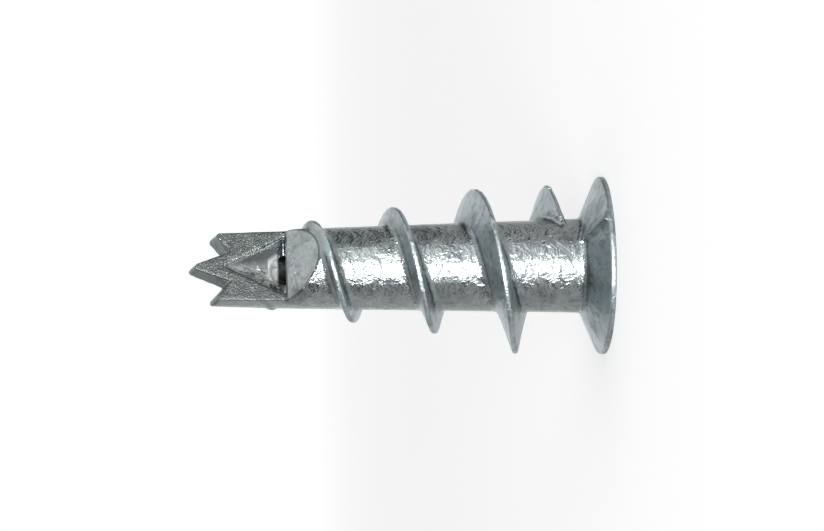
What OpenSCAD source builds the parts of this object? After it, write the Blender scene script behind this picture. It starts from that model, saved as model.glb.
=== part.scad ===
// Self-drilling drywall anchor, die-cast in one piece from zinc alloy.
// It stands on its head: +Z points from the head's outer face to the drill tip,
// and the cut-away flat of the tip faces -Y. All sizes are in millimetres.

/* [Overall] */
// Length from the head's outer face to the centre prong
anchor_l = 31.75; // [29:0.25:40]

/* [Head] */
// Diameter of the head
head_d = 13.6; // [12:0.1:16]
// Thickness of the head at its rim
head_rim_t = 0.4; // [0.3:0.05:0.8]
// Height of the head with its conical underside
head_h = 1.85; // [1.4:0.05:2.8]
// Radius of the fillet between the underside and the shank
head_fillet_r = 0.35; // [0.2:0.05:0.6]
// Height of the locking teeth on the underside
lock_h = 0.46; // [0.2:0.02:0.6]
// Slope of a tooth's back
lock_back_a = 18; // [12:1:30]

/* [Shank] */
// Diameter of the shank under the head
shank_d_head = 7.3; // [6.8:0.1:8]
// Diameter of the shank at the tip
shank_d_tip = 5.65; // [5.2:0.05:6.4]
// Diameter of the hole for the screw
bore_d = 3.6; // [3:0.1:4.2]

/* [Cross recess] */
// Width over opposite wings at the head's face
recess_d = 6.2; // [5.4:0.1:7]
// Depth of the wings
recess_depth = 3.2; // [2.4:0.1:4]
// Thickness of a wing
recess_wing_t = 1.25; // [0.9:0.05:1.5]

/* [Thread] */
// Axial advance in one turn
thread_pitch = 6.2; // [5:0.1:7.5]
// Distance from the centre prong to the start of the thread
thread_start_l = 5.2; // [4.6:0.1:6]
// Height above the head's face at which the thread dies out
thread_end_z = 3.1; // [2.8:0.1:5]
// Crest diameter where the growth steepens
crest_d_mid = 10.1; // [9:0.1:11]
// Crest diameter of the full blade
crest_d_full = 13.4; // [11.6:0.1:14]
// Turns from the start to the middle crest diameter
crest_mid_turn = 2.15; // [1.6:0.05:2.4]
// Turns from the start to the full crest diameter
crest_full_turn = 3.1; // [2.6:0.05:3.2]
// Turns over which the blade sinks back into the shank
runout_turns = 0.18; // [0.12:0.02:0.3]
// Width of the crest
crest_t = 0.36; // [0.2:0.01:0.5]
// Slope of the flank that faces the tip
lead_flank_a = 17; // [12:1:26]
// Slope of the flank that faces the head
trail_flank_a = 10; // [10:1:18]
// Size of the fillet along the root
root_fillet = 0.3; // [0.2:0.05:0.6]

/* [Drill tip] */
// Distance of the flat in front of the axis
flat_front = 0.63; // [0.4:0.01:0.9]
// Distance of the blade's back behind the axis, at its shoulder
blade_back = 1; // [0.8:0.05:1.3]
// Distance of the blade's back behind the axis, at the end of the centre prong
blade_back_tip = 0.45; // [0.3:0.05:0.8]
// Length of the flat, from the centre prong to the shoulder
flat_l = 7.4; // [6.8:0.1:8.4]
// Length of the thinned back, from the centre prong to its shoulder
back_l = 4.9; // [4.4:0.1:5.2]
// Slope of both shoulders from the axis
shoulder_a = 45; // [38:1:50]
// Length of the centre prong above the notches
centre_prong_l = 2.7; // [2:0.1:3.2]
// Length of the outer prongs above the notches, before their ends are rounded
outer_prong_l = 1.4; // [0.8:0.05:1.8]
// Distance of each notch from the middle of the blade
notch_x = 1.26; // [0.9:0.02:1.5]
// Radius of the prongs' rounded ends
prong_end_r = 0.3; // [0.15:0.05:0.45]
// Clearance slope of the cutting ends
relief_a = 28; // [10:1:32]

/* [Pocket] */
// Width of the pocket in the flat, at the shoulder
pocket_w = 5.2; // [4.4:0.1:5.3]
// Length of the pocket from the shoulder to its point
pocket_l = 4.9; // [4:0.1:5.2]
// Depth of the pocket at the shoulder
pocket_d = 1.25; // [0.9:0.05:1.5]
// Wall between the shoulder and the screw hole under it
lip_t = 0.45; // [0.35:0.05:0.7]
// Depth of the screw hole's end past the shoulder
bore_end_l = 1.1; // [0.6:0.05:1.3]
// Diameter of the screw hole's end
bore_end_d = 2.3; // [2:0.05:3.2]
// Radius around the screw hole's end
bore_end_round = 0.6; // [0.3:0.05:0.9]

/* [Hidden] */

ROUND_FN = 96;
BORE_FN = 48;
SECTIONS_PER_TURN = 32;
FILLET_STEPS = 4;
// Overlap of cutters past the faces that they cut, and of joined solids
OVER = 1;
// Depth of the thread's foot below the shank's surface
FOOT = 0.15;
// The locking teeth's outer ends lie this far inside the head's rim
LOCK_SET_IN = 0.06;
LOCK_COUNT = 2;
// Segments of a prong's rounded end
END_STEPS = 5;
// Least height between two points of the blade's outline
MIN_STEP = 0.04;

// Places along the axis
flat_z = anchor_l - flat_l;
back_z = anchor_l - back_l;
// The relief slope puts the far side of the prongs ahead of the flat
relief_rise = (flat_front + blade_back_tip) * tan(relief_a);
prong_z = anchor_l - relief_rise;
notch_z = prong_z - centre_prong_l;
outer_z = notch_z + outer_prong_l;
// Where the back of the wall under the shoulder meets the plane of the flat's root
lip_y = lip_t / sin(shoulder_a) - flat_front;
// The straight wall of the screw hole stops just before that slope
bore_wall_z = flat_z - (bore_d / 2 + lip_y) / tan(shoulder_a) - MIN_STEP;
bore_end_z = flat_z + bore_end_l;

// Thread start: angle about +Z, clockwise of the flat's normal by this much
THREAD_START_FROM_FLAT = 54;
FLAT_NORMAL_A = -90;
thread_start_a = FLAT_NORMAL_A - THREAD_START_FROM_FLAT;
thread_start_z = anchor_l - thread_start_l;
thread_turns = (thread_start_z - thread_end_z) / thread_pitch;
section_count = ceil(thread_turns * SECTIONS_PER_TURN);
// The steep side of the first locking tooth, measured from the flat's normal
lock_edge_a = FLAT_NORMAL_A + 4;

// Radius of the tapered shank at a height
function shank_r(z) =
    (shank_d_head + (shank_d_tip - shank_d_head) * z / anchor_l) / 2;

// Radius of the crest before the run-out, after a number of turns
function crest_r(turn, z) = lookup(turn, [
    [0, shank_r(z)],
    [crest_mid_turn, crest_d_mid / 2],
    [crest_full_turn, crest_d_full / 2]
]);

// Share of the blade that is left, from 1 before the run-out to 0 at its end
function runout_share(turn) =
    let (into = max(0, turn - (thread_turns - runout_turns)) / runout_turns)
    (1 + cos(180 * min(1, into))) / 2;

// Height of the blade above the shank
function blade_h(turn, z) =
    max(0, crest_r(turn, z) - shank_r(z)) * runout_share(turn) - 0.02;

// Distance of a flank from the blade's middle, at a height above the shank
function flank(height, up, slope, fillet) =
    crest_t / 2 + (up - height) * tan(slope)
    + (height < 0 ? fillet - 2 * height : pow(max(0, fillet - height), 2) / fillet);

// Outline of the blade where it stands up by a height, as [height, distance along the axis]
function blade_outline(up) =
    let (fillet = min(root_fillet, max(MIN_STEP, up / 2)),
         heights = [-FOOT, min(fillet / 2, up - MIN_STEP), up])
    concat(
        [for (h = heights) [h, flank(h, up, lead_flank_a, fillet)]],
        [for (i = [len(heights) - 1 : -1 : 0])
            [heights[i], -flank(heights[i], up, trail_flank_a, fillet)]]
    );

// A point of the outline carried to its place on the helix
function on_helix(p, turn) =
    let (z = thread_start_z - thread_pitch * turn,
         a = thread_start_a - 360 * turn,
         r = shank_r(z) + p[0])
    [r * cos(a), r * sin(a), z + p[1]];

module head_and_shank() {
    shank_r_head = shank_r(head_h);
    run = head_d / 2 - shank_r_head;
    rise = head_h - head_rim_t;
    cone_a = atan2(rise, run);
    reach = head_fillet_r / tan((90 + cone_a) / 2);
    centre = [shank_r_head + head_fillet_r, head_h + reach];
    fillet = [for (i = [0 : FILLET_STEPS])
        let (a = 270 - cone_a - (90 - cone_a) * i / FILLET_STEPS)
        centre + head_fillet_r * [cos(a), sin(a)]];
    rotate_extrude($fn = ROUND_FN)
        polygon(concat(
            [[0, 0], [head_d / 2, 0], [head_d / 2, head_rim_t]],
            fillet,
            [[shank_r(anchor_l), anchor_l], [0, anchor_l]]
        ));
}

// Teeth that bite into the board's face: wedges along a radius, steep on one side
module locking_teeth() {
    base_r = shank_r(head_h);
    slope_a = atan2(head_h - head_rim_t, head_d / 2 - base_r);
    deep = lock_h + OVER;
    intersection() {
        for (i = [0 : LOCK_COUNT - 1])
            rotate([0, 0, lock_edge_a + 360 * i / LOCK_COUNT])
                translate([0, 0, head_h + lock_h + base_r * tan(slope_a)])
                    rotate([0, slope_a, 0])
                        translate([base_r - FOOT, 0, 0])
                            rotate([90, 0, 90])
                                linear_extrude(height = head_d / 2)
                                    polygon([
                                        [0, 0],
                                        [0, -deep],
                                        [deep / tan(lock_back_a), -deep]
                                    ]);
        translate([0, 0, head_rim_t / 2])
            cylinder(h = head_h + 2 * lock_h, r = head_d / 2 - LOCK_SET_IN, $fn = ROUND_FN);
    }
}

// One-start right-hand thread, one swept solid
module thread() {
    rings = [for (i = [0 : section_count])
        let (turn = thread_turns * i / section_count,
             up = blade_h(turn, thread_start_z - thread_pitch * turn))
        [for (p = blade_outline(up)) on_helix(p, turn)]];
    n = len(rings[0]);
    last = len(rings) - 1;
    polyhedron(
        points = [for (ring = rings) for (p = ring) p],
        faces = concat(
            [[for (k = [n - 1 : -1 : 0]) k]],
            [for (i = [0 : last - 1]) for (k = [0 : n - 1])
                let (a = i * n + k, b = i * n + (k + 1) % n) each [[a, b, a + n], [b, b + n, a + n]]],
            [[for (k = [0 : n - 1]) last * n + k]]
        ),
        convexity = 12
    );
}

// A prism drawn in the YZ plane and run along X over the whole part
module side_prism(outline) {
    span = head_d + 2 * OVER;
    rotate([90, 0, 90])
        translate([0, 0, -span / 2])
            linear_extrude(height = span)
                polygon(outline);
}

// The flat in front of the blade and the shoulder that runs out of it
module front_cut() {
    depth = head_d / 2;
    side_prism([
        [-flat_front, anchor_l + OVER],
        [-flat_front, flat_z],
        [-flat_front - depth, flat_z - depth / tan(shoulder_a)],
        [-flat_front - depth, anchor_l + OVER]
    ]);
}

// The back of the blade, thinned towards the tip
module back_cut() {
    depth = head_d / 2;
    thinning = (blade_back - blade_back_tip) / back_l;
    side_prism([
        [blade_back_tip - thinning * OVER, anchor_l + OVER],
        [blade_back + depth, anchor_l + OVER],
        [blade_back + depth, back_z - depth / tan(shoulder_a)],
        [blade_back, back_z]
    ]);
}

// Points on an arc from one angle to another
function arc(centre, radius, from, to) =
    [for (i = [0 : END_STEPS])
        let (a = from + (to - from) * i / END_STEPS)
        centre + radius * [cos(a), sin(a)]];

// Half outline of the prongs, from the outer side to the middle, as
// [distance from the middle, height above the notches on the flat]
function prong_outline(side) =
    let (wall_a = atan2(outer_prong_l, side - notch_x),
         outer_c = [side - prong_end_r,
             (side - prong_end_r - notch_x) * tan(wall_a) - prong_end_r / cos(wall_a)],
         middle_c = [0, centre_prong_l - prong_end_r],
         tangent_a = atan2(middle_c[1], -notch_x)
             - asin(prong_end_r / norm([notch_x, middle_c[1]])))
    concat(
        [[side + OVER, outer_c[1]]],
        arc(outer_c, prong_end_r, 0, 90 + wall_a),
        [[notch_x, 0]],
        arc(middle_c, prong_end_r, tangent_a - 90, 90)
    );

// Everything beyond the three prongs, sloped back from the flat for clearance
module prong_cut() {
    side = shank_r(outer_z);
    half = prong_outline(side);
    top = anchor_l - notch_z + 2 * OVER;
    outline = concat(
        [[side + OVER, top]],
        half,
        [for (i = [len(half) - 2 : -1 : 0]) [-half[i][0], half[i][1]]],
        [[-side - OVER, top]]
    );
    translate([0, -flat_front, notch_z])
        rotate([90 + relief_a, 0, 0])
            linear_extrude(height = 4 * flat_front + 4 * blade_back, center = true)
                // Heights measured on the flat, squeezed for the tilt of the cutter
                polygon([for (p = outline) [p[0], p[1] * cos(relief_a)]]);
}

// Pocket in the flat: a cone whose point lies on the flat and whose axis leans out of it
module pocket() {
    half_a = atan2(pocket_w / 2, pocket_l);
    floor_a = atan2(pocket_d, pocket_l);
    lean_a = atan((cos(floor_a) - cos(half_a)) / sin(floor_a));
    reach = 2 * pocket_l;
    depth = head_d / 2;
    intersection() {
        translate([0, -flat_front, flat_z + pocket_l])
            rotate([-lean_a, 0, 0])
                translate([0, 0, -reach])
                    cylinder(h = reach, r1 = reach * tan(lean_a + floor_a), r2 = 0, $fn = BORE_FN);
        side_prism([
            [-depth, flat_z],
            [depth, flat_z],
            [depth, anchor_l],
            [-depth, anchor_l]
        ]);
    }
}

// Screw hole: a straight wall, then a tapered and rounded end that breaks into the
// pocket, its front sloped to keep a wall under the shoulder
module bore() {
    reach = bore_d;
    end_c = [bore_end_d / 2 - bore_end_round, bore_end_z - bore_end_round];
    difference() {
        rotate_extrude($fn = BORE_FN)
            polygon(concat(
                [[0, -OVER], [bore_d / 2, -OVER], [bore_d / 2, bore_wall_z]],
                arc(end_c, bore_end_round, 0, 90),
                [[0, bore_end_z]]
            ));
        side_prism([
            [lip_y, flat_z],
            [lip_y - reach, flat_z],
            [lip_y - reach, flat_z - reach / tan(shoulder_a)]
        ]);
    }
}

// Cross recess in the head's face
module recess() {
    wings = recess_d + 2 * OVER;
    grow = (recess_d - bore_d) / (2 * recess_depth);
    intersection() {
        translate([0, 0, -OVER])
            cylinder(
                h = recess_depth + OVER,
                d1 = recess_d + 2 * OVER * grow,
                d2 = bore_d - recess_wing_t / 2,
                $fn = BORE_FN
            );
        for (turn = [0, 90])
            rotate([0, 0, turn])
                translate([-wings / 2, -recess_wing_t / 2, -OVER])
                    cube([wings, recess_wing_t, recess_depth + OVER]);
    }
}

module anchor() {
    color("silver")
        difference() {
            union() {
                head_and_shank();
                locking_teeth();
                thread();
            }
            front_cut();
            back_cut();
            prong_cut();
            pocket();
            bore();
            recess();
        }
}

anchor();
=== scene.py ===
"""Looks of a self-drilling drywall anchor: one zinc casting standing on its head in a soft studio."""

import logging
import math
from dataclasses import dataclass, field
from enum import Enum
from typing import Any, Iterable

import bmesh
import bpy
from mathutils import Matrix, Vector


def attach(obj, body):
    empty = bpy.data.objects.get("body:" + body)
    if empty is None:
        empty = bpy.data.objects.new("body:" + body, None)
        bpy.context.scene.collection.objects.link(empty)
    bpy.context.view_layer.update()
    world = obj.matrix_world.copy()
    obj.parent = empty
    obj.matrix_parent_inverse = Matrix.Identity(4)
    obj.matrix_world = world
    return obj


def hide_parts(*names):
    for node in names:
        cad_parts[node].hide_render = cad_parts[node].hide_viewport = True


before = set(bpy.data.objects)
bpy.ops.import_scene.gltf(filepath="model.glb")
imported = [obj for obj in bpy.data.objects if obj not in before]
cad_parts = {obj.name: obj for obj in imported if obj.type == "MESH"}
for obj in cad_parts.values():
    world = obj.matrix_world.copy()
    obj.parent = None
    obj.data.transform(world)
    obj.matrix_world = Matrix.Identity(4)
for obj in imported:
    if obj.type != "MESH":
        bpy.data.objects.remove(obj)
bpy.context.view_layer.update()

MM = 0.001
LOG = logging.getLogger("anchor")
Colour = tuple[float, float, float, float]
WHITE: Colour = (1.0, 1.0, 1.0, 1.0)


class Region(Enum):
    """Parts of the casting whose surface, or painted light and shade, differs from the shank's."""

    PROUD = "proud"
    SHOULDER = "shoulder"
    BLADE = "blade"
    POCKET = "pocket"
    BED = "bed"
    SIDE = "side"
    CREASE = "crease"
    LIT_HOLE_END = "lit_hole_end"


class Signal:
    """A value socket that can be used in Python arithmetic."""

    def __init__(self, graph: "Graph", socket: bpy.types.NodeSocket) -> None:
        """Wrap a socket.

        Args:
            graph: The node graph that the socket is in.
            socket: An output socket that carries a number.
        """
        self.graph = graph
        self.socket = socket

    def _math(self, operation: str, *values: Any) -> "Signal":
        """Add a Math node.

        Args:
            operation: The Math node's operation.
            values: Signals or numbers for its inputs, in order.

        Returns:
            The node's result.
        """
        inputs = dict(enumerate(values))
        made = self.graph.node("ShaderNodeMath", {"operation": operation}, inputs)
        return Signal(self.graph, made.outputs[0])

    def __add__(self, other: Any) -> "Signal":
        """Sum."""
        return self._math("ADD", self, other)

    def __radd__(self, other: Any) -> "Signal":
        """Sum with a number first."""
        return self._math("ADD", other, self)

    def __sub__(self, other: Any) -> "Signal":
        """Difference."""
        return self._math("SUBTRACT", self, other)

    def __rsub__(self, other: Any) -> "Signal":
        """Difference from a number."""
        return self._math("SUBTRACT", other, self)

    def __mul__(self, other: Any) -> "Signal":
        """Product."""
        return self._math("MULTIPLY", self, other)

    def __rmul__(self, other: Any) -> "Signal":
        """Product with a number first."""
        return self._math("MULTIPLY", other, self)

    def __truediv__(self, other: Any) -> "Signal":
        """Quotient."""
        return self._math("DIVIDE", self, other)

    def __pow__(self, other: Any) -> "Signal":
        """Power."""
        return self._math("POWER", self, other)

    def __abs__(self) -> "Signal":
        """Size without sign."""
        return self._math("ABSOLUTE", self)

    def rise(self, low: float, high: float) -> "Signal":
        """Turn a value into a smooth mask.

        Args:
            low: Value at which the mask is 0.
            high: Value at which the mask is 1; below low for a falling mask.

        Returns:
            The mask, from 0 to 1.
        """
        made = self.graph.node(
            "ShaderNodeMapRange",
            {"interpolation_type": "SMOOTHSTEP"},
            {"Value": self, "From Min": low, "From Max": high},
        )
        return Signal(self.graph, made.outputs[0])


@dataclass(frozen=True)
class Noise:
    """A noise pattern: waves to the millimetre, octaves, weight of each finer one, and how far it curls."""

    scale: float
    detail: float
    rough: float
    twist: float = 0.0


class Graph:
    """A node tree with one way to add a node."""

    def __init__(self, tree: bpy.types.NodeTree) -> None:
        """Empty a tree and keep it.

        Args:
            tree: The tree of a material or the world.
        """
        self.tree = tree
        tree.nodes.clear()

    def node(
        self, kind: str, settings: dict[str, Any] | None = None, inputs: dict[Any, Any] | None = None
    ) -> bpy.types.Node:
        """Add a node, set it and feed its sockets.

        Args:
            kind: The node's type.
            settings: The node's own properties, which are set first.
            inputs: Values, sockets or signals by socket name or number.

        Returns:
            The new node.
        """
        made = self.tree.nodes.new(kind)
        for name, value in (settings or {}).items():
            setattr(made, name, value)
        for key, value in (inputs or {}).items():
            target = made.inputs[key]
            if isinstance(value, Signal):
                value = value.socket
            if isinstance(value, bpy.types.NodeSocket):
                self.tree.links.new(value, target)
            else:
                target.default_value = value
        return made

    def blend(self, share: Any, first: Any, second: Any) -> bpy.types.NodeSocket:
        """Mix two colours.

        Args:
            share: Signal or number, 0 for the first colour and 1 for the second.
            first: Colour or colour socket.
            second: Colour or colour socket.

        Returns:
            The mixed colour.
        """
        made = self.node("ShaderNodeMix", {"data_type": "RGBA"}, {0: share, 6: first, 7: second})
        return made.outputs[2]

    def pattern(self, where: bpy.types.NodeSocket, noise: Noise) -> Signal:
        """Noise over a position.

        Args:
            where: The position, in millimetres.
            noise: The pattern.

        Returns:
            The noise, about 0.5 on average.
        """
        made = self.node(
            "ShaderNodeTexNoise",
            {},
            {
                "Vector": where,
                "Scale": noise.scale,
                "Detail": noise.detail,
                "Roughness": noise.rough,
                "Distortion": noise.twist,
            },
        )
        return Signal(self, made.outputs["Fac"])

    def along(self, way: bpy.types.NodeSocket, axis: Vector) -> Signal:
        """How far a direction points along an axis.

        Args:
            way: The direction.
            axis: The axis, of length 1.

        Returns:
            The cosine of the angle between them.
        """
        made = self.node("ShaderNodeVectorMath", {"operation": "DOT_PRODUCT"}, {0: way, 1: tuple(axis)})
        return Signal(self, made.outputs["Value"])

    def seen_against(self, card: Signal) -> Signal:
        """Where the white background shows: to the camera everywhere, and in metal and glass as a card.

        Args:
            card: Mask of the card behind the object.

        Returns:
            A mask over the rays.
        """
        rays = self.node("ShaderNodeLightPath")
        camera, glossy, through = (
            Signal(self, rays.outputs[name])
            for name in ("Is Camera Ray", "Is Glossy Ray", "Is Transmission Ray")
        )
        return camera + (glossy + through) * card


@dataclass(frozen=True)
class AnchorSizes:
    """Sizes of the anchor in millimetres, in the frame of the CAD model."""

    length: float = 31.75
    shank_r_head: float = 3.65
    shank_r_tip: float = 2.825
    flat_front: float = 0.63
    flat_z: float = 24.35
    thread_top: float = 25.5
    thread_low: float = 2.7
    thread_pitch: float = 6.2
    crest_growth: float = 0.72
    crest_h_full: float = 2.7
    flank_root: float = 0.55
    pocket_l: float = 4.9
    pocket_w: float = 5.2
    pocket_d: float = 1.25
    hole_low: float = 24.8
    hole_high: float = 25.9
    hole_r: float = 1.5
    crease_end_x: float = -2.6
    crease_full_x: float = -1.7
    wall_low: float = 26.8
    wall_high: float = 28.6

    @property
    def taper(self) -> float:
        """Loss of shank radius for each millimetre of height."""
        return (self.shank_r_head - self.shank_r_tip) / self.length

    def on_flank(self, place: Vector) -> bool:
        """Whether a point lies on a flank of the thread, away from its root and its crest.

        Args:
            place: The point, in millimetres.

        Returns:
            Whether it does.
        """
        proud = math.hypot(place.x, place.y) - self.shank_r_head + place.z * self.taper
        turn = max(0.0, self.thread_top - place.z) / self.thread_pitch
        full = min(turn * self.crest_growth, self.crest_h_full)
        return place.z > self.thread_low and self.flank_root < proud < full


@dataclass(frozen=True)
class Skin:
    """What varies over the casting's surface, as masks and noise that its finish is made from."""

    masks: dict[Region, Signal]
    smooth: Signal
    edge: Signal
    wear_and_glint: Signal
    corner: Signal
    crinkle: Signal
    ripple: Signal
    grain: Signal
    patches: Signal
    blotch: Signal
    cloud: Signal


@dataclass(frozen=True)
class CastZincFinish:
    """As-cast zinc alloy: crinkled on the shank, smooth on the blades, rough and dark on the cut flat."""

    sizes: AnchorSizes = field(default_factory=AnchorSizes)
    shank_tone: Colour = (0.405, 0.447, 0.455, 1.0)
    # Zinc tone of the thread and the head, with a painted cool tint that stands in for the blue of their
    # shaded flanks.
    proud_tone_cool_shade: Colour = (0.500, 0.592, 0.620, 1.0)
    shoulder_tone: Colour = (0.520, 0.570, 0.575, 1.0)
    flat_tone: Colour = (0.220, 0.242, 0.234, 1.0)
    # Dark tone for pits, stains and darker edge beads, and for painted shade in folds, corners, the
    # pocket's upper wall and the shoulder's crease.
    dark_tone: Colour = (0.120, 0.135, 0.140, 1.0)
    # Bright tone of every painted highlight and painted light.
    bright_tone: Colour = (0.860, 0.880, 0.860, 1.0)
    warm_tone: Colour = (0.545, 0.540, 0.525, 1.0)
    folds: Noise = Noise(1.9, 2.0, 0.5, 1.1)
    ripple: Noise = Noise(3.7, 2.5, 0.6, 0.6)
    grain: Noise = Noise(8.0, 2.0, 0.6)
    patches: Noise = Noise(0.5, 3.0, 0.55)
    blotch: Noise = Noise(1.5, 3.0, 0.55, 0.5)
    cloud: Noise = Noise(0.9, 2.0, 0.5, 0.6)
    fold_stretch: float = 0.7
    fold_sharpness: float = 4.0
    warm_share: float = 0.45
    painted_fold_shade: float = 0.12
    pocket_wall_shade: float = 0.85
    edge_darkening: float = 0.85
    edge_shine: float = 0.8
    corner_shade: float = 0.5
    hole_end_dullness: float = 0.55
    polish: float = 0.21
    relief_height: float = 0.034 * MM

    def build(self) -> bpy.types.Material:
        """Make the material.

        Returns:
            The finished material.
        """
        material = bpy.data.materials.new("cast_zinc")
        material.use_nodes = True
        graph = Graph(material.node_tree)
        skin = self.read_skin(graph)
        relief = {"Height": self.relief(skin), "Distance": self.relief_height, "Strength": 1.0}
        bump = graph.node("ShaderNodeBump", {}, relief)
        surface = graph.node(
            "ShaderNodeBsdfPrincipled",
            {},
            {
                "Base Color": self.tone(graph, skin),
                # The lit end of the bore is made less metallic so that its painted light shows.
                "Metallic": 1.0 - skin.masks[Region.LIT_HOLE_END] * self.hole_end_dullness,
                "Roughness": self.roughness(skin),
                "Normal": bump.outputs[0],
            },
        )
        graph.node("ShaderNodeOutputMaterial", {}, {"Surface": surface.outputs[0]})
        return material

    def read_skin(self, graph: Graph) -> Skin:
        """Add the nodes that say where a point is and which patterns lie there.

        Args:
            graph: The material's node graph.

        Returns:
            The masks and the noise of the surface.
        """
        coords = graph.node("ShaderNodeTexCoord").outputs["Object"]
        scaled = graph.node("ShaderNodeVectorMath", {"operation": "SCALE"}, {0: coords, "Scale": 1 / MM})
        where = scaled.outputs[0]
        split = graph.node("ShaderNodeSeparateXYZ", {}, {0: where})
        x, y, z = (Signal(graph, split.outputs[i]) for i in range(3))
        stretch = {"Vector": where, "Scale": (1.0, 1.0, self.fold_stretch)}
        drawn = graph.node("ShaderNodeMapping", {}, stretch).outputs[0]
        bend = Signal(graph, graph.node("ShaderNodeAttribute", {"attribute_name": "bend"}).outputs["Fac"])
        masks = self.masks(x, y, z)
        proud, shoulder, side = (masks[r] for r in (Region.PROUD, Region.SHOULDER, Region.SIDE))
        grain = graph.pattern(where, self.grain)
        edge = bend.rise(0.05, 0.20)
        return Skin(
            masks=masks,
            smooth=1.0 - (1.0 - proud) * (1.0 - shoulder) * (1.0 - side),
            edge=edge,
            # Bright grainy beads along convex edges: painted highlight, and wear that makes them less
            # rough.
            wear_and_glint=edge * grain.rise(0.46, 0.58),
            corner=bend.rise(-0.06, -0.22),
            crinkle=abs(graph.pattern(drawn, self.folds) - 0.5) * self.fold_sharpness,
            ripple=graph.pattern(drawn, self.ripple),
            grain=grain,
            patches=graph.pattern(where, self.patches),
            blotch=graph.pattern(where, self.blotch),
            cloud=graph.pattern(where, self.cloud),
        )

    def tone(self, graph: Graph, skin: Skin) -> bpy.types.NodeSocket:
        """Lay the colours over each other: bare metal first, then tarnish and stains, painted shade,
        painted light and highlights, and edge wear.

        Args:
            graph: The material's node graph.
            skin: The masks and the noise of the surface.

        Returns:
            The colour.
        """
        proud, blade, lit_hole_end, bed = (
            skin.masks[r] for r in (Region.PROUD, Region.BLADE, Region.LIT_HOLE_END, Region.BED)
        )
        warm = skin.cloud.rise(0.42, 0.58) * self.warm_share
        pits = skin.grain.rise(0.54, 0.42) * skin.blotch.rise(0.36, 0.52) * blade
        # Valleys of the cast crinkle on the shank, darkened as painted shade.
        folded = skin.crinkle.rise(0.20, 0.0) * skin.ripple.rise(0.55, 0.42) * (1.0 - skin.smooth)
        spots = skin.blotch.rise(0.48, 0.68) * (0.28 + blade * 0.3 + skin.smooth * 0.06)
        stains = skin.patches.rise(0.46, 0.72) * 0.45 + spots
        # Dark grainy beads along convex edges, between the bright ones.
        broken = skin.edge * skin.grain.rise(0.58, 0.46) * (1.0 - lit_hole_end) * (1.0 - bed)
        glints = skin.grain.rise(0.60, 0.72) * blade
        layers = (
            # Thread and head: their zinc tone with its painted cool shade tint, warmed in random clouds.
            (proud, graph.blend(warm, self.proud_tone_cool_shade, self.warm_tone)),
            (skin.masks[Region.SHOULDER], self.shoulder_tone),
            (blade, self.flat_tone),
            (pits, self.dark_tone),
            # Painted shade in the crinkle's valleys.
            (folded * self.painted_fold_shade, self.dark_tone),
            (stains, self.dark_tone),
            # Painted shade on the pocket's upper wall.
            (skin.masks[Region.POCKET] * self.pocket_wall_shade, self.dark_tone),
            # Painted light on the pocket's floor, broken by darker ripple.
            (bed * 0.6, self.bright_tone),
            (bed * skin.ripple.rise(0.50, 0.62) * 0.8, self.dark_tone),
            # Darker beads along convex edges.
            (broken * self.edge_darkening, self.dark_tone),
            # Painted shade in the shoulder's crease and painted shadow under its edge.
            (skin.masks[Region.CREASE] * 0.8, self.dark_tone),
            (glints * 0.7, self.bright_tone),
            # Painted highlight on the bright edge beads.
            (skin.wear_and_glint * self.edge_shine, self.bright_tone),
            # Painted shade in concave corners.
            (skin.corner * self.corner_shade, self.dark_tone),
            # Painted light on the lit end of the bore.
            (lit_hole_end * skin.blotch.rise(0.30, 0.50), self.bright_tone),
        )
        tone: Any = self.shank_tone
        for share, colour in layers:
            tone = graph.blend(share, tone, colour)
        return tone

    def roughness(self, skin: Skin) -> Signal:
        """How dull the surface is: more so off the shank and on tarnish, less on rubbed edges.

        Args:
            skin: The masks and the noise of the surface.

        Returns:
            The roughness.
        """
        blade, lit_hole_end = skin.masks[Region.BLADE], skin.masks[Region.LIT_HOLE_END]
        cast = self.polish + skin.smooth * 0.13 + blade * 0.14
        return cast + skin.patches * 0.08 - skin.wear_and_glint * 0.08 + lit_hole_end * 0.2

    def relief(self, skin: Skin) -> Signal:
        """Height of the cast crinkle, the grit and the dents, calmer where the metal is smooth.

        Args:
            skin: The masks and the noise of the surface.

        Returns:
            The height, as a multiple of relief_height.
        """
        blade, pocket, shoulder, bed = (
            skin.masks[r] for r in (Region.BLADE, Region.POCKET, Region.SHOULDER, Region.BED)
        )
        calm = skin.smooth * 0.75 + blade * 0.4 + pocket * 0.6 - shoulder * 0.55 - bed
        depth = 0.45 + skin.cloud.rise(0.40, 0.60) * 0.75
        crinkle = (skin.crinkle * 0.8 + skin.ripple * 0.9) * depth * (1.0 - calm)
        grit = skin.grain * (0.05 + blade * 1.8 + skin.edge * 5.0)
        dents = skin.blotch * (1.0 + skin.smooth * 1.6)
        return crinkle + grit + dents

    def masks(self, x: Signal, y: Signal, z: Signal) -> dict[Region, Signal]:
        """Masks of the regions by place, with borders in millimetres.

        Args:
            x: Place along X in millimetres.
            y: Place along Y in millimetres.
            z: Height in millimetres.

        Returns:
            A mask for each region. The shank is what is left.
        """
        sizes = self.sizes
        radius = (x * x + y * y) ** 0.5
        shank_r = sizes.shank_r_head - z * sizes.taper
        depth = shank_r - radius
        proud = depth.rise(-0.22, -0.60)
        inside = depth.rise(0.03, 0.12)
        above = z.rise(sizes.flat_z - 0.10, sizes.flat_z + 0.02)
        front = y + sizes.flat_front
        blade = above * abs(front).rise(0.14, 0.06)
        slope = abs(front + sizes.flat_z - z).rise(0.16, 0.09)
        shoulder = slope * (1.0 - above) * inside
        to_point = sizes.pocket_l + sizes.flat_z - z
        half = to_point * sizes.pocket_w / (2 * sizes.pocket_l)
        floor = to_point * sizes.pocket_d / sizes.pocket_l
        within = (floor - front).rise(-0.30, -0.20)
        sunk = above * front.rise(0.12, 0.30) * inside * within
        # Upper wall of the pocket, which the finish darkens as painted shade.
        pocket = sunk * (x / half).rise(0.15, 0.60)
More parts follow.
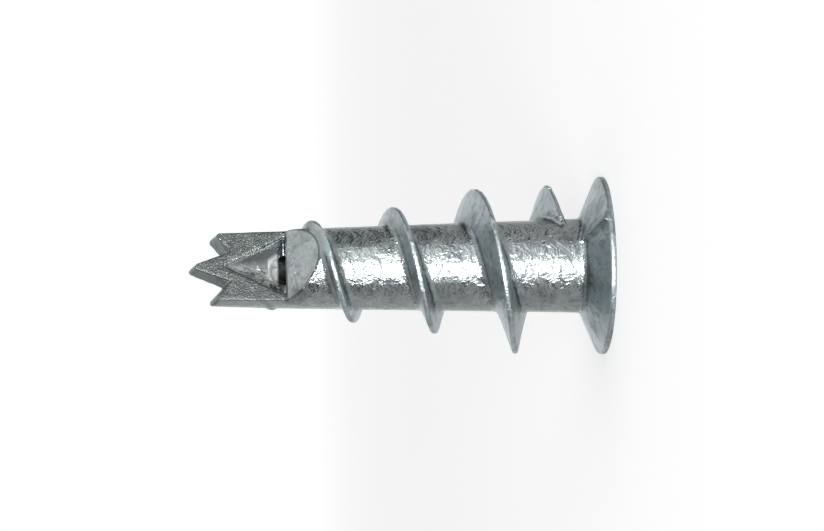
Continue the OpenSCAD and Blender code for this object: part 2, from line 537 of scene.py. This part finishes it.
        # Floor of the pocket, which the finish lightens as painted light.
        bed = sunk * (x / half).rise(0.35, -0.15)
        # The end of the bore seen through the pocket, which the finish paints bright as painted light.
        in_hole = radius.rise(sizes.hole_r - 0.05, sizes.hole_r - 0.20) * y.rise(0.0, 0.3)
        past_low = z.rise(sizes.hole_low, sizes.hole_low + 0.30)
        lit_hole_end = past_low * z.rise(sizes.hole_high - 0.10, sizes.hole_high - 0.30) * in_hole
        side = above * (1.0 - inside) * front.rise(0.05, 0.2)
        # The crease where the shoulder meets the thread, and the line under the shoulder's edge; the finish
        # darkens both as painted shade and painted shadow.
        at_rim = depth.rise(-0.06, 0.0) * depth.rise(0.12, 0.05)
        crease = slope * at_rim * x.rise(sizes.crease_end_x, sizes.crease_full_x)
        foot = abs(front).rise(0.16, 0.08) * abs(z - sizes.flat_z).rise(0.14, 0.07)
        high = z.rise(sizes.wall_low, sizes.wall_high)
        walls = above * inside * front.rise(0.12, 0.2) * high * (1.0 - within)
        return {
            Region.PROUD: proud,
            Region.SHOULDER: shoulder,
            Region.BLADE: blade,
            Region.POCKET: pocket,
            Region.BED: bed,
            Region.SIDE: 1.0 - (1.0 - side * 0.5) * (1.0 - walls),
            Region.CREASE: 1.0 - (1.0 - crease) * (1.0 - foot),
            Region.LIT_HOLE_END: lit_hole_end,
        }


@dataclass
class AnchorCasting:
    """The whole anchor as one casting, with softened edges and a cast skin."""

    sizes: AnchorSizes = field(default_factory=AnchorSizes)
    merge: float = 0.0005 * MM
    voxel: float = 0.085 * MM
    smooth_share: float = 0.5
    smooth_passes: int = 4
    hole_passes: int = 30
    flank_passes: int = 60
    triangles: int = 190_000

    def build(self, finish: bpy.types.Material) -> bpy.types.Object:
        """Make the casting from the CAD solid.

        Args:
            finish: The material of the whole casting.

        Returns:
            The piece, riding on the root body in place of its CAD node.
        """
        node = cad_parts["anchor"]
        mesh = bpy.data.meshes.new("anchor_casting")
        shape = bmesh.new()
        shape.from_mesh(node.data)
        bmesh.ops.remove_doubles(shape, verts=shape.verts, dist=self.merge)
        shape.to_mesh(mesh)
        shape.free()
        piece = bpy.data.objects.new("anchor_casting", mesh)
        bpy.context.scene.collection.objects.link(piece)
        self.remesh(piece)
        self.soften(piece)
        self.mark_bends(piece)
        self.thin_out(piece)
        piece.data.materials.clear()
        piece.data.materials.append(finish)
        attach(piece, "root")
        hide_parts("anchor")
        return piece

    def remesh(self, piece: bpy.types.Object) -> None:
        """Give the casting an even skin.

        Args:
            piece: The casting.
        """
        even = piece.modifiers.new("even_skin", "REMESH")
        even.mode = "VOXEL"
        even.voxel_size = self.voxel
        even.adaptivity = 0.0
        self.apply_modifiers(piece)

    def apply_modifiers(self, piece: bpy.types.Object) -> None:
        """Turn the modifiers' result into the piece's own mesh.

        Args:
            piece: The casting.
        """
        graph = bpy.context.evaluated_depsgraph_get()
        made = bpy.data.meshes.new_from_object(piece.evaluated_get(graph))
        piece.modifiers.clear()
        piece.data = made

    def thin_out(self, piece: bpy.types.Object) -> None:
        """Drop triangles where the skin is even.

        Args:
            piece: The casting.
        """
        piece.data.calc_loop_triangles()
        share = self.triangles / len(piece.data.loop_triangles)
        if share < 1:
            thin = piece.modifiers.new("thin_out", "DECIMATE")
            thin.ratio = share
            self.apply_modifiers(piece)

    def soften(self, piece: bpy.types.Object) -> None:
        """Round the edges a little, the hole's end and the thread's facets more, and shade smooth.

        Args:
            piece: The casting.
        """
        shape = bmesh.new()
        shape.from_mesh(piece.data)
        self.relax(shape, shape.verts, self.smooth_passes)
        sizes = self.sizes
        rim = [
            v
            for v in shape.verts
            if sizes.hole_low < v.co.z / MM < sizes.hole_high
            and math.hypot(v.co.x, v.co.y) / MM < sizes.hole_r
        ]
        flanks = [v for v in shape.verts if sizes.on_flank(v.co / MM)]
        self.relax(shape, rim, self.hole_passes)
        self.relax(shape, flanks, self.flank_passes)
        for face in shape.faces:
            face.smooth = True
        shape.to_mesh(piece.data)
        shape.free()

    def relax(self, shape: bmesh.types.BMesh, verts: Iterable[bmesh.types.BMVert], passes: int) -> None:
        """Move points towards the middle of their neighbours.

        Args:
            shape: The mesh.
            verts: The points to move.
            passes: How many times.
        """
        for _ in range(passes):
            bmesh.ops.smooth_vert(
                shape,
                verts=verts,
                factor=self.smooth_share,
                use_axis_x=True,
                use_axis_y=True,
                use_axis_z=True,
            )

    def mark_bends(self, piece: bpy.types.Object) -> None:
        """Store how sharply the skin bends: above 0 on edges, below 0 in corners.

        Args:
            piece: The casting.
        """
        shape = bmesh.new()
        shape.from_mesh(piece.data)
        bends = []
        for vert in shape.verts:
            around = [edge.other_vert(vert).co for edge in vert.link_edges]
            middle = sum(around, Vector()) / len(around)
            bends.append((vert.co - middle).dot(vert.normal) / self.voxel)
        spread = [
            (bends[vert.index] + sum(bends[e.other_vert(vert).index] for e in vert.link_edges))
            / (1 + len(vert.link_edges))
            for vert in shape.verts
        ]
        shape.free()
        layer = piece.data.attributes.new("bend", "FLOAT", "POINT")
        layer.data.foreach_set("value", spread)


@dataclass(frozen=True)
class Lamp:
    """A soft round lamp that faces the anchor.

    Its place is a share of the studio's distance to the camera's side and to the side that is up in the
    picture, and a height in metres. Its size is in metres and its power in watts.
    """

    name: str
    side: float
    up: float
    height: float
    size: float
    power: float


@dataclass(frozen=True)
class CardEdge:
    """The soft edge of the white card behind the anchor, as cosines from its middle."""

    away: Vector
    outer: float = 0.75
    inner: float = 0.95

    def mask(self, graph: Graph, way: bpy.types.NodeSocket) -> Signal:
        """Where a direction meets the card.

        Args:
            graph: The node graph.
            way: The direction.

        Returns:
            The mask of the card.
        """
        return graph.along(way, self.away).rise(self.outer, self.inner)


@dataclass(frozen=True)
class FloorPaperFinish:
    """White paper that brightens away from the anchor, until it meets the background."""

    card: CardEdge
    paint: Colour = (0.80, 0.80, 0.80, 1.0)
    near_glow: float = 0.40
    far_glow: float = 0.62
    near_reach: float = 0.05
    far_reach: float = 0.9

    def build(self) -> bpy.types.Material:
        """Make the material.

        Returns:
            The finished material.
        """
        material = bpy.data.materials.new("floor_paper")
        material.use_nodes = True
        graph = Graph(material.node_tree)
        place = graph.node("ShaderNodeTexCoord").outputs["Object"]
        away = graph.node("ShaderNodeVectorMath", {"operation": "NORMALIZE"}, {0: place}).outputs[0]
        seen = graph.seen_against(self.card.mask(graph, away))
        reach = graph.node("ShaderNodeVectorMath", {"operation": "LENGTH"}, {0: place}).outputs["Value"]
        far = Signal(graph, reach).rise(self.near_reach, self.far_reach)
        level = self.near_glow + far * (self.far_glow - self.near_glow)
        paper = graph.node("ShaderNodeBsdfDiffuse", {}, {"Color": self.paint})
        glow = graph.node("ShaderNodeEmission", {}, {"Color": WHITE, "Strength": seen * level})
        both = graph.node("ShaderNodeAddShader", {}, {0: paper.outputs[0], 1: glow.outputs[0]})
        graph.node("ShaderNodeOutputMaterial", {}, {"Surface": both.outputs[0]})
        return material


@dataclass(frozen=True)
class Studio:
    """Pale floor, a white card behind the anchor, a soft ceiling, a low card, dim sides and soft lamps."""

    floor_size: float = 6.0
    distance: float = 0.50
    lamp_aim: float = 14 * MM
    camera_side: Vector = field(default_factory=lambda: Vector((-0.4462, -0.8949, 0.0)))
    picture_up: Vector = field(default_factory=lambda: Vector((0.8949, -0.4462, 0.0)))
    lower_card: Vector = field(default_factory=lambda: Vector((-0.4771, 0.8788, 0.0)))
    room_level: float = 0.04
    card_level: float = 0.50
    ceiling_level: float = 0.58
    ceiling_lean: float = 0.42
    lower_level: float = 0.82
    lower_fade: float = 0.70
    key: Lamp = Lamp("key", 1.0, -0.09, 0.03, 0.265, 4.4)
    fill: Lamp = Lamp("fill", 0.76, 0.65, 0.06, 0.34, 0.50)

    def build(self) -> None:
        """Make the floor, the world and the lamps."""
        card = CardEdge(-self.camera_side)
        self.floor(FloorPaperFinish(card).build())
        self.world(card)
        for lamp in (self.key, self.fill):
            self.hang(lamp)

    def floor(self, finish: bpy.types.Material) -> None:
        """Lay the floor under the head.

        Args:
            finish: The floor's material.
        """
        shape = bmesh.new()
        bmesh.ops.create_grid(shape, x_segments=1, y_segments=1, size=self.floor_size / 2)
        mesh = bpy.data.meshes.new("floor")
        shape.to_mesh(mesh)
        shape.free()
        floor = bpy.data.objects.new("floor", mesh)
        bpy.context.scene.collection.objects.link(floor)
        mesh.materials.append(finish)

    def world(self, edge: CardEdge) -> None:
        """Light the room: the card behind the anchor, the ceiling, the low card and the dim sides.

        Args:
            edge: The edge of the card behind the anchor.
        """
        world = bpy.data.worlds.new("studio")
        world.use_nodes = True
        bpy.context.scene.world = world
        graph = Graph(world.node_tree)
        way = graph.node("ShaderNodeTexCoord").outputs["Generated"]
        card = edge.mask(graph, way)
        upper = graph.along(way, Vector((0, 0, 1)))
        above = graph.along(way, self.picture_up)
        lower = graph.along(way, self.lower_card)
        ceiling = upper.rise(0.18, 0.75) * (self.ceiling_level + above * self.ceiling_lean)
        low = lower.rise(0.38, 0.97) * self.lower_level * (1.0 - upper.rise(0.0, 0.35) * self.lower_fade)
        room = self.room_level + card * self.card_level + ceiling + low
        level = room + graph.seen_against(card) * (1.0 - room)
        back = graph.node("ShaderNodeBackground", {}, {"Color": WHITE, "Strength": level})
        graph.node("ShaderNodeOutputWorld", {}, {"Surface": back.outputs[0]})

    def hang(self, lamp: Lamp) -> None:
        """Hang a lamp.

        Args:
            lamp: The lamp.
        """
        data = bpy.data.lights.new(lamp.name, "AREA")
        data.shape = "DISK"
        data.size = lamp.size
        data.energy = lamp.power
        place = (self.camera_side * lamp.side + self.picture_up * lamp.up) * self.distance
        place.z = lamp.height
        hung = bpy.data.objects.new(lamp.name, data)
        hung.location = place
        aim = Vector((0, 0, self.lamp_aim)) - place
        hung.rotation_euler = aim.to_track_quat("-Z", "Y").to_euler()
        bpy.context.scene.collection.objects.link(hung)


@dataclass(frozen=True)
class CameraRig:
    """A long lens level with the anchor, rolled so that the tip points left."""

    turn: float = math.radians(26.5)
    distance: float = 0.190
    height: float = 29.0 * MM
    aim_height: float = 14.72 * MM
    aim_up: float = 0.155 * MM
    roll: float = math.radians(-0.65)
    frame_width: float = 62.7 * MM
    sensor_width: float = 36.0
    near_clip: float = 10 * MM

    def build(self) -> None:
        """Place the camera and make it the scene's."""
        data = bpy.data.cameras.new("camera")
        data.sensor_width = self.sensor_width
        data.lens = self.sensor_width * self.distance / self.frame_width
        data.clip_start = self.near_clip
        camera = bpy.data.objects.new("camera", data)
        bpy.context.scene.collection.objects.link(camera)
        side = Vector((-math.sin(self.turn), -math.cos(self.turn), 0))
        across = Vector((math.cos(self.turn), -math.sin(self.turn), 0))
        spot = side * self.distance + Vector((0, 0, self.height))
        aim = Vector((0, 0, self.aim_height)) + across * self.aim_up
        back = (spot - aim).normalized()
        up = (across - back * across.dot(back)).normalized()
        right = up.cross(back)
        turn = Matrix((right, up, back)).transposed()
        roll = Matrix.Rotation(self.roll, 3, "Z")
        camera.matrix_world = Matrix.Translation(spot) @ (turn @ roll).to_4x4()
        bpy.context.scene.camera = camera


def main() -> None:
    """Build the studio and the anchor, and report the piece."""
    logging.basicConfig(level=logging.INFO)
    bpy.context.scene.view_settings.view_transform = "Standard"
    Studio().build()
    CameraRig().build()
    piece = AnchorCasting().build(CastZincFinish().build())
    LOG.info("%s: %d faces", piece.name, len(piece.data.polygons))


if __name__ == "__main__":
    main()
